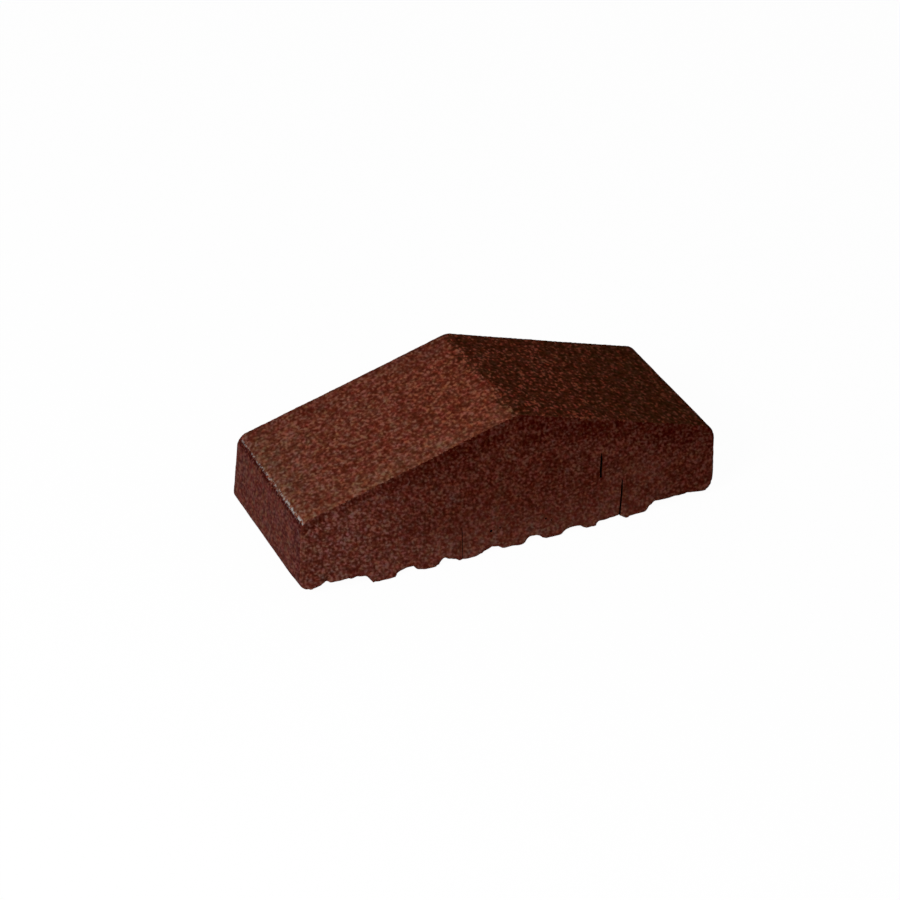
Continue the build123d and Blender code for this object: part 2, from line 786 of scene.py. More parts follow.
    def on_end(self, face: bmesh.types.BMFace) -> bool:
        """Say whether a face is on one of the two ends, with a part of its roundings.

        Args:
            face: The face in question.

        Returns:
            Whether it is.
        """
        place = face.calc_center_median().x
        outward = face.normal.x * math.copysign(1.0, place)
        return abs(place) > self.section.half - self.section.left_worn_foot[0] and outward > self.end_limit


class Sheet:
    """A node tree that is being drawn up: adds nodes and joins their sockets."""

    def __init__(self, tree: Tree) -> None:
        """Start from a material's tree or a group."""
        self.tree = tree

    @classmethod
    def of(cls, block: bpy.types.Material | bpy.types.World) -> "Sheet":
        """Clear the nodes of a material or a world, and draw on its tree.

        Args:
            block: The material or the world.

        Returns:
            The empty sheet.
        """
        block.use_nodes = True
        block.node_tree.nodes.clear()
        return cls(block.node_tree)

    def add(self, kind: str, feeds: Feeds | None = None, **settings: object) -> bpy.types.Node:
        """Add a node.

        Args:
            kind: The node's type.
            feeds: Values or sockets for its inputs.
            **settings: Its properties.

        Returns:
            The node.
        """
        node = self.tree.nodes.new(kind)
        for name, value in settings.items():
            setattr(node, name, value)
        for name, value in (feeds or {}).items():
            self.feed(node.inputs[name], value)
        return node

    def feed(self, socket: Socket, value: Feed) -> None:
        """Set an input, or link it.

        Args:
            socket: The input.
            value: A value, or the output that it is linked from.
        """
        if isinstance(value, Socket):
            self.tree.links.new(value, socket)
        elif isinstance(value, tuple) and socket.type == "RGBA" and len(value) == 3:
            socket.default_value = (*value, 1.0)
        else:
            socket.default_value = value

    def math(self, operation: str, *feeds: Feed) -> Socket:
        """Work out a number from one, two or three others."""
        return self.add("ShaderNodeMath", dict(enumerate(feeds)), operation=operation).outputs[0]

    def plus(self, first: Feed, second: Feed) -> Socket:
        """Add two numbers."""
        return self.math("ADD", first, second)

    def minus(self, first: Feed, second: Feed) -> Socket:
        """Take the second number from the first."""
        return self.math("SUBTRACT", first, second)

    def times(self, *factors: Feed) -> Socket:
        """Multiply two or more numbers."""
        return reduce(lambda product, factor: self.math("MULTIPLY", product, factor), factors)

    def spread(self, share: Feed, low: float, high: float) -> Socket:
        """Turn a share into a number: the first where the share is 0, the second where it is 1."""
        return self.math("MULTIPLY_ADD", share, high - low, low)

    def band(self, value: Feed, low: Feed, high: Feed) -> Socket:
        """Turn a number smoothly into a share: 0 at the first limit, 1 at the second."""
        feeds = {"Value": value, "From Min": low, "From Max": high}
        return self.add("ShaderNodeMapRange", feeds, interpolation_type="SMOOTHSTEP").outputs[0]

    def fade(self, value: Feed, low: Feed, high: Feed) -> Socket:
        """Turn a number smoothly into a share: 1 at the first limit, 0 at the second."""
        return self.minus(1.0, self.band(value, low, high))

    def vector(self, operation: str, *feeds: Feed) -> Socket:
        """Work out a vector from others."""
        return self.add("ShaderNodeVectorMath", dict(enumerate(feeds)), operation=operation).outputs[0]

    def scaled(self, vector: Feed, scale: Feed) -> Socket:
        """Scale a vector."""
        return self.add("ShaderNodeVectorMath", {0: vector, "Scale": scale}, operation="SCALE").outputs[0]

    def counted(self, vector: Feed, size: Feed) -> Socket:
        """Measure a vector in steps of a given size."""
        return self.scaled(vector, self.math("DIVIDE", 1.0, size))

    def parts(self, vector: Feed) -> tuple[Socket, ...]:
        """Take a vector apart into its X, Y and Z."""
        return tuple(self.add("ShaderNodeSeparateXYZ", {0: vector}).outputs)

    def noise(self, place: Feed, size: float, detail: float = 2.0, rough: float = 0.5) -> Outputs:
        """Read soft noise, by the width of its spots, its finer layers and their strength."""
        feeds = {"Vector": place, "Scale": 1 / size, "Detail": detail, "Roughness": rough}
        return self.add("ShaderNodeTexNoise", feeds).outputs

    def tint(self, factor: Feed, first: Feed, second: Feed, blend: str = "MIX") -> Socket:
        """Blend a share of the second colour into the first."""
        node = self.add("ShaderNodeMix", {0: factor, 6: first, 7: second}, data_type="RGBA", blend_type=blend)
        return node.outputs[2]

    def group(self, tree: Tree, **feeds: Feed) -> Outputs:
        """Place a node group, with its inputs by name."""
        return self.add("ShaderNodeGroup", feeds, node_tree=tree).outputs


@dataclass(frozen=True)
class Effect:
    """A shader node group that is being drawn up: its sheet, its inputs by name and its outputs' sockets."""

    sheet: Sheet
    given: dict[str, Socket]
    result: bpy.types.NodeInputs


@dataclass(frozen=True)
class SharedEffects:
    """Surface effects that several of the brick's materials use, each one a node group.

    The warped ends lie inside the squared ones by the end's inset. The painted highlight along the left eave
    runs a little inside the left end and below its sharp eave, and the painted shade under it ends between
    two heights below that eave.
    """

    section: Section
    warp: Warp
    end_inset: float = 0.8 * MM
    glint_inset: float = 1.2 * MM
    glint_drop: float = 0.7 * MM
    shade_drop: tuple[float, float] = (2.0 * MM, 3.2 * MM)

    def start(
        self, name: str, inputs: dict[str, float | None], values: Iterable[str], colours: Iterable[str] = ()
    ) -> Effect:
        """Open a new group.

        Args:
            name: The group's name.
            inputs: Its inputs with their starting values, where None is a vector.
            values: Its outputs that are numbers.
            colours: Its outputs that are colours.

        Returns:
            The open group.
        """
        tree = bpy.data.node_groups.new(name, "ShaderNodeTree")
        for label, value in inputs.items():
            kind = "NodeSocketVector" if value is None else "NodeSocketFloat"
            socket = tree.interface.new_socket(name=label, in_out="INPUT", socket_type=kind)
            if value is not None:
                socket.default_value = value
        for labels, kind in ((values, "NodeSocketFloat"), (colours, "NodeSocketColor")):
            for label in labels:
                tree.interface.new_socket(name=label, in_out="OUTPUT", socket_type=kind)
        sheet = Sheet(tree)
        entry = sheet.add("NodeGroupInput")
        given = {label: entry.outputs[label] for label in inputs}
        return Effect(sheet, given, sheet.add("NodeGroupOutput").inputs)

    def flecks(self) -> Tree:
        """Draw up the dots and strokes of lighter glaze, and the hue that changes from fleck to fleck.

        Returns:
            The group.
        """
        inputs = {"Vector": None, "Size": 1.2 * MM, "Curl": 0.5, "Dots": 0.4, "Contrast": 1.7}
        group = self.start("glaze flecks", inputs, ("Height",), ("Hue",))
        sheet, given = group.sheet, group.given
        place = sheet.counted(given["Vector"], given["Size"])
        swirl = sheet.vector("SUBTRACT", sheet.noise(place, 1.5, 0.0)["Color"], (0.5, 0.5, 0.5))
        place = sheet.vector("ADD", place, sheet.scaled(swirl, given["Curl"]))
        strokes = sheet.minus(sheet.noise(place, 1.0, 1.0, 0.4)[0], 0.5)
        cells = sheet.add("ShaderNodeTexVoronoi", {"Vector": place, "Scale": 0.8}).outputs["Distance"]
        dots = sheet.times(sheet.minus(0.5, cells), given["Dots"])
        height = sheet.math("MULTIPLY_ADD", sheet.plus(strokes, dots), given["Contrast"], 0.5)
        elsewhere = sheet.vector("ADD", place, (3.7, 31.9, 12.4))
        first, second, third = sheet.parts(sheet.noise(elsewhere, 2.0, 1.0)["Color"])
        red, green = sheet.spread(first, 0.65, 1.35), sheet.spread(second, 0.45, 1.55)
        blue = sheet.times(green, sheet.spread(third, 0.5, 1.5))
        hue = sheet.add("ShaderNodeCombineColor", {0: red, 1: green, 2: blue}).outputs[0]
        sheet.feed(group.result["Height"], height)
        sheet.feed(group.result["Hue"], hue)
        return sheet.tree

    def clouds(self) -> Tree:
        """Draw up the broad patches that the kiln's fire leaves, and blotches of a few millimetres.

        Returns:
            The group.
        """
        inputs = {"Vector": None, "Patch": 26 * MM, "Blotch": 6 * MM}
        group = self.start("kiln clouds", inputs, ("Patch", "Blotch"))
        sheet, given = group.sheet, group.given
        for name, low, high in (("Patch", 0.3, 0.7), ("Blotch", 0.25, 0.75)):
            place = sheet.counted(given["Vector"], given[name])
            cloud = sheet.noise(place, 1.0, 2.0, 0.55)[0]
            sheet.feed(group.result[name], sheet.band(cloud, low, high))
        return sheet.tree

    def arris(self) -> Tree:
        """Draw up the distances from the nearest sharp edge and from the weathered slopes above.

        Returns:
            The group.
        """
        group = self.start("arris distance", {"Vector": None}, ("Edge", "Below Slope"))
        sheet, section = group.sheet, self.section
        along, across, level = sheet.parts(group.given["Vector"])
        front, back = (self.warp.posts[0, face].lean / section.sharp_ridge for face in (-1, 1))
        lean = sheet.spread(sheet.math("LESS_THAN", across, 0.0), back, front)
        away = sheet.math("ABSOLUTE", sheet.minus(across, sheet.times(level, lean)))
        ridge, left, right = (self.lifted(sheet, end, across) for end in (0, -1, 1))
        reach = section.half - self.end_inset
        share = sheet.times(along, 1.0 / reach)
        left_slope = sheet.math("MULTIPLY_ADD", share, sheet.minus(ridge, left), ridge)
        right_slope = sheet.math("MULTIPLY_ADD", share, sheet.minus(right, ridge), ridge)
        below = sheet.minus(sheet.math("MINIMUM", left_slope, right_slope), level)
        end = sheet.minus(reach, sheet.math("ABSOLUTE", along))
        cut = sheet.minus(section.depth / 2, away)
        inner = sheet.math("MINIMUM", below, level)
        low, high = sheet.math("MINIMUM", end, cut), sheet.math("MAXIMUM", end, cut)
        sheet.feed(group.result["Edge"], sheet.math("MAXIMUM", low, sheet.math("MINIMUM", high, inner)))
        sheet.feed(group.result["Below Slope"], below)
        return sheet.tree

    def lifted(self, sheet: Sheet, end: int, across: Feed) -> Socket:
        """Find the height of the sharp ridge or of a sharp eave after the warping.

        Args:
            sheet: The sheet to draw on.
            end: -1 for the left eave, 0 for the ridge, 1 for the right eave.
            across: Where it is read along the wall.

        Returns:
            The height there.
        """
        lift, growth = self.warp.run(end, "lift", self.section.depth)
        level = self.section.eave_height if end else self.section.sharp_ridge
        return sheet.math("MULTIPLY_ADD", across, growth, level + lift)

    def bead(self) -> Tree:
        """Draw up a thin broken painted highlight along the left eave, brighter towards the front, and the
        painted shade below it.

        Returns:
            The group.
        """
        inputs = {"Vector": None, "Width": 0.572 * MM, "Stitch": 1.1 * MM}
        group = self.start("eave glint", inputs, ("Bead", "Shade"))
        sheet, given, section = group.sheet, group.given, self.section
        along, across, level = sheet.parts(given["Vector"])
        out, growth = self.warp.run(-1, "top_out", section.depth)
        end = sheet.math("MULTIPLY_ADD", across, growth, section.half + out)
        aside = sheet.plus(along, sheet.minus(end, self.glint_inset))
        under_eave = sheet.minus(self.lifted(sheet, -1, across), level)
        below = sheet.minus(under_eave, self.glint_drop)
        away = sheet.math("SQRT", sheet.plus(*(sheet.math("POWER", side, 2.0) for side in (aside, below))))
        place = sheet.counted(given["Vector"], given["Stitch"])
        broken = sheet.noise(place, 1.0, 1.0)[0]
        front = sheet.fade(across, -section.depth / 2, section.depth / 2)
        wide = sheet.times(given["Width"], sheet.plus(broken, sheet.plus(front, 0.5)))
        glint_stitches = sheet.band(broken, sheet.spread(front, 0.47, 0.39), 0.62)
        # painted highlight: a broken bright line along the left eave, brighter towards the front
        bead = sheet.times(sheet.fade(away, 0.0, wide), glint_stitches, sheet.spread(front, 0.4, 0.85))
        elsewhere = sheet.vector("ADD", place, (8.1, 2.3, 5.5))
        # painted shade: a broken dark band just below the painted highlight
        shade_breaks = sheet.band(sheet.noise(elsewhere, 0.9, 0.0)[0], 0.42, 0.5)
        sheet.feed(group.result["Bead"], bead)
        sheet.feed(group.result["Shade"], sheet.times(sheet.fade(under_eave, *self.shade_drop), shade_breaks))
        return sheet.tree


class Area(Enum):
    """Parts of the sides that are coloured in their own way: some by the fire, the glaze or the wire, and
    some with painted light, shade and sheen.
    """

    # painted sheen near the left eave
    LEFT_EAVE = auto()
    # painted sheen along the front of the left slope
    FRONT_MARGIN = auto()
    NEAR_RIDGE = auto()
    # painted shade on the right slope, from just before the ridge
    PAST_RIDGE = auto()
    # deeper painted shade on the far part of the right slope
    FAR_SLOPE = auto()
    BACK_MARGIN = auto()
    # painted shade on the front face, under the slopes
    UNDER_ROOF = auto()
    # painted light on the left part of the front face
    LEFT_PART = auto()
    LOWER_PART = auto()
    FIRE_CLOUDS = auto()
    END_BY_FRONT = auto()
    RIB_FEET = auto()


@dataclass(frozen=True)
class Survey:
    """What a material knows of the point that it colours: its place, and how frayed the borders are there."""

    sheet: Sheet
    along: Socket
    across: Socket
    level: Socket
    below: Socket
    patch: Socket
    fray: Socket

    def frayed(self, place: Socket, share: float = 1.0) -> Socket:
        """Move a place by a share of the fray."""
        return self.sheet.math("MULTIPLY_ADD", self.fray, share, place)


@dataclass(frozen=True)
class Tone:
    """Colours of one region: the ground between the flecks, half way up, and the flecks.

    The ground's share says how much of the region is darker than half way up.
    """

    dark: Colour
    middle: Colour
    light: Colour
    ground: float = 0.5


@dataclass(frozen=True)
class ClayFinish:
    """A finish of the fired clay: its main tone, those that take over in places, and how it feels.

    Its grain is drawn out along its run, by its stretch.
    """

    name: str
    main: Tone
    layers: tuple[tuple[Area, Tone], ...]
    run: Triple
    grain: float
    stretch: float
    roughness: float = 0.7
    specular: float = 0.0
    bump: float = 0.1 * MM


@dataclass(frozen=True)
class Accents:
    """Colours of the small things that the finishes share, and how much each one covers: painted shade inside
    the cracks and pits, real wear on the edges, a painted highlight along the left eave and the painted shade
    below it.
    """

    # painted shade inside the cracks and pits
    crack: Colour = (0.004, 0.002, 0.0015)
    worn: Colour = (0.16, 0.065, 0.045)
    worn_share: float = 0.07
    # painted highlight along the left eave
    bead: Colour = (0.30, 0.29, 0.28)
    # painted shade below the left eave's painted highlight
    shade: Colour = (0.020, 0.001, 0.0005)
    shade_share: float = 0.85


class BrickDresser:
    """Makes the brick's materials and puts them on its sides."""

    def __init__(self, section: Section, warp: Warp, finishes: dict[Side, ClayFinish]) -> None:
        """Build the shared effects once.

        Args:
            section: The brick's section.
            warp: How it is out of square.
            finishes: One finish for each kind of side.
        """
        self.section = section
        self.finishes = finishes
        self.accents = Accents()
        effects = SharedEffects(section, warp)
        self.flecks = effects.flecks()
        self.clouds = effects.clouds()
        self.arris = effects.arris()
        self.bead = effects.bead()

    def dress(self, piece: Piece) -> None:
        """Fill the piece's material slots.

        Args:
            piece: The brick, with one slot for each side.
        """
        for side, finish in self.finishes.items():
            piece.data.materials[side.value] = self.material(side, finish)
        # painted shade inside the cracks and pits
        piece.data.materials[Side.CRACK.value] = self.painted_crack_shade()

    def painted_crack_shade(self) -> bpy.types.Material:
        """Make the near-black matt inside of the cracks and pits: painted shade, as the deep narrow openings
        would fall dark.

        Returns:
            The material.
        """
        material = bpy.data.materials.new("crack shade")
        sheet = Sheet.of(material)
        feeds = {"Base Color": self.accents.crack, "Roughness": 0.9, "Specular IOR Level": 0.0}
        shader = sheet.add("ShaderNodeBsdfPrincipled", feeds)
        sheet.add("ShaderNodeOutputMaterial", {"Surface": shader.outputs[0]})
        return material

    def share(self, area: Area, at: Survey) -> Socket:
        """Say how much a point belongs to an area.

        Args:
            area: The area.
            at: What is known of the point.

        Returns:
            0 outside the area, 1 inside it.
        """
        sheet, half, front = at.sheet, self.section.half, -self.section.depth / 2
        shares = {
            # painted sheen near the left eave
            Area.LEFT_EAVE: lambda: sheet.fade(at.frayed(at.along), -half, -66 * MM),
            # painted sheen along the front of the left slope
            Area.FRONT_MARGIN: lambda: sheet.fade(at.frayed(at.across), front, front + 20 * MM),
            Area.NEAR_RIDGE: lambda: sheet.band(at.frayed(at.along), -45 * MM, -5 * MM),
            Area.BACK_MARGIN: lambda: sheet.band(at.frayed(at.across), -front - 9 * MM, -front),
            # painted shade of the right slope
            Area.PAST_RIDGE: lambda: sheet.band(at.frayed(at.along, -0.5), -2.2 * MM, 0.2 * MM),
            # deeper painted shade on the far part of the right slope
            Area.FAR_SLOPE: lambda: sheet.band(at.frayed(at.along), 25 * MM, 75 * MM),
            # painted shade under the slopes
            Area.UNDER_ROOF: lambda: self.under_roof(at),
            # painted light on the left part of the front face
            Area.LEFT_PART: lambda: sheet.fade(at.frayed(at.along), -80 * MM, -10 * MM),
            Area.LOWER_PART: lambda: sheet.times(
                sheet.fade(at.frayed(at.level), 4 * MM, 28 * MM),
                sheet.fade(sheet.math("ABSOLUTE", at.frayed(at.along)), 45 * MM, 85 * MM),
            ),
            Area.FIRE_CLOUDS: lambda: sheet.times(at.patch, 0.6),
            Area.END_BY_FRONT: lambda: sheet.fade(at.frayed(at.across), front, front + 14 * MM),
            Area.RIB_FEET: lambda: sheet.fade(at.level, 0.0, 1.5 * MM),
        }
        return shares[area]()

    def under_roof(self, at: Survey) -> Socket:
        """Say how much a point of a cut face belongs to the painted shade under the slopes.

        Args:
            at: What is known of the point.

        Returns:
            0 outside the band, up to 1 inside it, where the painted shade is deeper and darker away from the
            left end.
        """
        sheet = at.sheet
        ripe = sheet.band(at.frayed(at.along), -75 * MM, -30 * MM)
        roof_shade = sheet.fade(at.frayed(at.below, 0.3), 1.5 * MM, sheet.spread(ripe, 5 * MM, 17 * MM))
        return sheet.times(roof_shade, sheet.spread(ripe, 0.6, 1.0))

    def material(self, side: Side, finish: ClayFinish) -> bpy.types.Material:
        """Make one finish.

        Args:
            side: Which side it dresses.
            finish: Its colours and its feel.

        Returns:
            The material.
        """
        material = bpy.data.materials.new(finish.name)
        sheet = Sheet.of(material)
        place = sheet.add("ShaderNodeTexCoord").outputs["Object"]
        drawn = sheet.add("ShaderNodeVectorMath", {0: place, 1: finish.run}, operation="DOT_PRODUCT")
        shorter = sheet.times(drawn.outputs["Value"], 1.0 / finish.stretch - 1.0)
        pulled = sheet.vector("ADD", place, sheet.scaled(finish.run, shorter))
        flecks = sheet.group(self.flecks, Vector=pulled, Size=finish.grain)
        clouds = sheet.group(self.clouds, Vector=place)
        edges = sheet.group(self.arris, Vector=place)
        height = sheet.plus(flecks["Height"], sheet.spread(clouds["Blotch"], -0.12, 0.12))
        coarse = sheet.spread(clouds["Patch"], -7 * MM, 7 * MM)
        fray = sheet.plus(coarse, sheet.spread(height, -4 * MM, 4 * MM))
        at = Survey(sheet, *sheet.parts(place), edges["Below Slope"], clouds["Patch"], fray)
        colour = self.tone(sheet, finish.main, height)
        for area, tone in finish.layers:
            colour = sheet.tint(self.share(area, at), colour, self.tone(sheet, tone, height))
        colour = sheet.tint(1.0, colour, flecks["Hue"], "MULTIPLY")
        colour = self.wear_and_painted_light(sheet, side, place, edges["Edge"], colour)
        grit = sheet.noise(place, 0.4 * MM, 2.0, 0.6)[0]
        relief = sheet.math("MULTIPLY_ADD", grit, 0.3, height)
        bump = sheet.add("ShaderNodeBump", {"Height": relief, "Strength": 1.0, "Distance": finish.bump})
        feeds = {
            "Base Color": colour,
            "Roughness": sheet.spread(height, finish.roughness + 0.1, finish.roughness - 0.1),
            "Normal": bump.outputs[0],
            "Specular IOR Level": finish.specular,
        }
        shader = sheet.add("ShaderNodeBsdfPrincipled", feeds)
        sheet.add("ShaderNodeOutputMaterial", {"Surface": shader.outputs[0]})
        return material

    def wear_and_painted_light(self, sheet: Sheet, side: Side, place: Feed, edge: Feed, colour: Feed) -> Socket:
        """Lighten the worn edges, and paint a broken highlight along the left eave with painted shade below
        it.

        Args:
            sheet: The material's sheet.
            side: Which side it dresses.
            place: The point that it colours.
            edge: How far that is from a sharp edge.
            colour: The colour so far.

        Returns:
            The colour with the wear, the painted highlight and the painted shade.
        """
        accents = self.accents
        reach = sheet.times(sheet.noise(place, 1.2 * MM)[0], 1.3 * MM)
        worn = sheet.times(sheet.fade(edge, 0.0, reach), accents.worn_share)
        colour = sheet.tint(worn, colour, accents.worn)
        if side not in (Side.SUNNY_SLOPE, Side.END):
            return colour
        rim = sheet.group(self.bead, Vector=place)
        if side is Side.END:
            # painted shade on the ends, just below the painted highlight
            colour = sheet.tint(sheet.times(rim["Shade"], accents.shade_share), colour, accents.shade)
        # painted highlight along the left eave
        return sheet.tint(rim["Bead"], colour, accents.bead)

    def tone(self, sheet: Sheet, tone: Tone, height: Feed) -> Socket:
        """Colour a region from its fleck pattern.

        Args:
            sheet: The material's sheet.
            tone: The region's colours.
            height: The fleck pattern.

        Returns:
            The colour.
        """
        node = sheet.add("ShaderNodeValToRGB", {0: height})
        stops = node.color_ramp.elements
        stops[0].position, stops[0].color = 0.1, (*tone.dark, 1.0)
        stops[1].position, stops[1].color = 0.9, (*tone.light, 1.0)
        stops.new(tone.ground).color = (*tone.middle, 1.0)
        return node.outputs[0]


@dataclass(frozen=True)
class Studio:
    """The pale floor, the key light in a pale room, and the camera at the photograph's viewing angle."""

    azimuth: float = math.radians(-28.92)
    elevation: float = math.radians(34.92)
    roll: float = math.radians(4.03)
    distance: float = 1180.5 * MM
    aim: Triple = (-12.6 * MM, 0.0, 28.2 * MM)
    focal_pixels: float = 3033.0
    frame_pixels: float = 900.0
    sensor: float = 36.0
    floor_side: float = 12.0
    key_direction: Triple = (-0.72, -0.40, 0.57)
    key_distance: float = 1.2
    key_side: float = 0.45
    key_power: float = 12.0
    fill_strength: float = 0.42
    floor_grey: float = 0.86
    floor_white: float = 0.97
    floor_level: float = 0.0

    def build(self) -> None:
        """Set up the whole studio."""
        self.floor()
        self.lights()
        self.camera()
        bpy.context.scene.view_settings.view_transform = "Standard"

    def seen(self, sheet: Sheet) -> Socket:
        """Say where a background shows: to the camera, in gloss and through glass.

        Args:
            sheet: The sheet of the background's material.

        Returns:
            1 for such a ray, 0 for others.
        """
        path = sheet.add("ShaderNodeLightPath").outputs
        direct = sheet.math("MAXIMUM", path["Is Camera Ray"], path["Is Glossy Ray"])
        return sheet.math("MAXIMUM", direct, path["Is Transmission Ray"])

    def floor(self) -> None:
        """Lay the pale floor, which keeps a light shadow and can't be seen from below."""
        deselect_all()
        bpy.ops.mesh.primitive_plane_add(size=self.floor_side, location=(0, 0, self.floor_level))
        floor = bpy.context.object
        floor.name = "studio_floor"
        material = bpy.data.materials.new("pale floor")
        sheet = Sheet.of(material)
        matt = sheet.add("ShaderNodeBsdfDiffuse", {"Color": (self.floor_grey,) * 3})
        glow = sheet.add("ShaderNodeEmission", {"Color": (1.0, 1.0, 1.0), "Strength": 1.0})
        share = sheet.times(self.seen(sheet), self.floor_white)
        above = sheet.add("ShaderNodeMixShader", {0: share, 1: matt.outputs[0], 2: glow.outputs[0]})
        clear = sheet.add("ShaderNodeBsdfTransparent")
        back = sheet.add("ShaderNodeNewGeometry").outputs["Backfacing"]
        mixed = sheet.add("ShaderNodeMixShader", {0: back, 1: above.outputs[0], 2: clear.outputs[0]})
        sheet.add("ShaderNodeOutputMaterial", {"Surface": mixed.outputs[0]})
        floor.data.materials.append(material)
        floor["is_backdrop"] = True

    def lights(self) -> None:
        """Hang one soft key light at the upper left, in a pale room."""
        direction = Vector(self.key_direction).normalized()
        light = bpy.data.lights.new("key", "AREA")
        light.shape = "DISK"
        light.size = self.key_side
        light.energy = self.key_power
        lamp = bpy.data.objects.new("key", light)
        lamp.location = direction * self.key_distance
        lamp.rotation_euler = direction.to_track_quat("Z", "Y").to_euler()
        bpy.context.scene.collection.objects.link(lamp)
        world = bpy.data.worlds.new("pale room")
        sheet = Sheet.of(world)
        strength = sheet.spread(self.seen(sheet), self.fill_strength, 1.0)
        ground = sheet.add("ShaderNodeBackground", {"Color": (1.0, 1.0, 1.0), "Strength": strength})
        sheet.add("ShaderNodeOutputWorld", {"Surface": ground.outputs[0]})
        bpy.context.scene.world = world

    def camera(self) -> None:
        """Stand the camera where the photograph was taken from."""
        sine, cosine, level = math.sin(self.azimuth), math.cos(self.azimuth), math.cos(self.elevation)
        back = Vector((sine * level, -cosine * level, math.sin(self.elevation)))
        flat = Vector((cosine, sine, 0.0))
        upright = back.cross(flat)
        right = flat * math.cos(self.roll) + upright * math.sin(self.roll)
        data = bpy.data.cameras.new("camera")
        data.lens = self.focal_pixels / self.frame_pixels * self.sensor
        data.sensor_width = self.sensor
        camera = bpy.data.objects.new("camera", data)
        camera.rotation_euler = Matrix((right, back.cross(right), back)).transposed().to_euler()
        camera.location = Vector(self.aim) + back * self.distance
        bpy.context.scene.collection.objects.link(camera)
        bpy.context.scene.camera = camera


FRONT_EDGE = TornEdge(
    left_overhang=(
        (-90.0, 3.4), (-86.5, 3.4), (-84.5, 3.55), (-83.0, 4.0), (-81.0, 4.6), (-79.8, 5.3), (-78.5, 5.6),
        (-77.4, 4.95), (-76.0, 4.55), (-73.5, 4.5), (-71.2, 4.7), (-68.2, 4.1), (-66.0, 4.5), (-64.6, 4.15),
        (-62.8, 3.9), (-61.6, 3.3),
    ),
    ribs=(
        (
            (-60.4, 1.9), (-59.1, 0.2), (-54.5, 0.05), (-49.4, 0.0), (-49.1, 1.6), (-47.0, 2.4),
        ),
        (
            (-44.8, 2.95), (-42.0, 2.85), (-41.6, 2.7), (-41.2, 1.6), (-40.4, 1.0), (-38.0, 0.5),
            (-35.6, 0.0), (-33.6, 0.0), (-32.0, 0.6), (-30.2, 2.2), (-29.3, 3.2), (-28.6, 3.0),
        ),
        (
            (-27.6, 2.2), (-25.0, 1.4), (-23.6, 0.9), (-22.2, 0.0), (-15.6, 0.0), (-13.5, 0.9), (-10.0, 2.0),
        ),
        (
            (-8.9, 2.55), (-6.2, 2.2), (-5.0, 1.5), (-3.0, 0.55), (0.0, 0.7), (3.5, 0.35), (5.2, 0.5),
            (6.4, 1.6), (7.1, 2.6), (8.0, 2.95),
        ),
        (
            (11.0, 2.5), (12.2, 2.1), (13.2, 1.2), (14.5, 0.5), (17.5, 0.1), (21.4, 0.0), (22.4, 0.7),
            (23.6, 2.0), (25.5, 2.3),
        ),
        (
            (28.5, 2.3), (30.1, 1.95), (31.0, 1.2), (32.8, 0.2), (34.2, 0.0), (36.9, 0.0), (37.6, 1.3),
            (38.2, 1.9), (41.0, 1.75), (43.0, 2.05), (44.5, 1.9),
        ),
        (
            (46.8, 2.25), (48.0, 1.6), (50.2, 0.25), (51.0, 0.3), (52.5, 0.65), (59.1, 0.6), (60.0, 1.5),
        ),
    ),
    right_overhang=(
        (60.8, 3.0), (62.0, 3.4), (62.9, 3.9), (63.5, 4.55), (65.5, 4.3), (69.0, 4.2), (72.3, 4.4),
        (75.4, 4.15), (77.3, 4.3), (80.8, 3.9), (84.2, 3.55), (86.3, 3.3), (90.0, 3.3),
    ),
)


WARP = Warp(
    {
        (-1, -1): Post(foot_out=0.7 * MM, top_out=0.2 * MM, lift=2.6 * MM, lean=4.5 * MM, sink=0.5 * MM),
        (-1, 1): Post(foot_out=0.4 * MM, top_out=-1.3 * MM, lift=1.3 * MM, lean=0.4 * MM, sink=-0.15 * MM),
        (0, -1): Post(lift=1.65 * MM, lean=4.2 * MM, sink=0.5 * MM),
        (0, 1): Post(lift=1.65 * MM, lean=0.4 * MM),
        (1, -1): Post(foot_out=1.1 * MM, top_out=-0.5 * MM, lift=0.5 * MM, lean=5.2 * MM, sink=0.5 * MM),
        (1, 1): Post(foot_out=0.55 * MM, top_out=-1.0 * MM, lift=0.3 * MM, lean=0.4 * MM),
    }
)


def knocks(section: Section, count: int, seed: int) -> tuple[Chip, ...]:
    """Spread small knocks along the lower arrises of both cut faces.

    Args:
        section: The brick's section.
        count: How many.
        seed: Fixes their places.

    Returns:
        The chips.
    """
    reach, smallest, largest, longest = 0.97 * section.half, 0.4 * MM, 0.8 * MM, 2.2
    dice = random.Random(seed)
    chips = []
    for number in range(count):
        face = dice.choice((-1, 1)) * section.depth / 2
        place = dice.uniform(-reach, reach)
        height = section.soffit_height if abs(place) > section.bed_length / 2 else 0.0
        size = dice.uniform(smallest, largest)
        radii = (size * dice.uniform(1.0, longest), size, size)
        chips.append(Chip((place, face, height), radii, turn=dice.uniform(-1, 1), seed=number + 11))
    return tuple(chips)


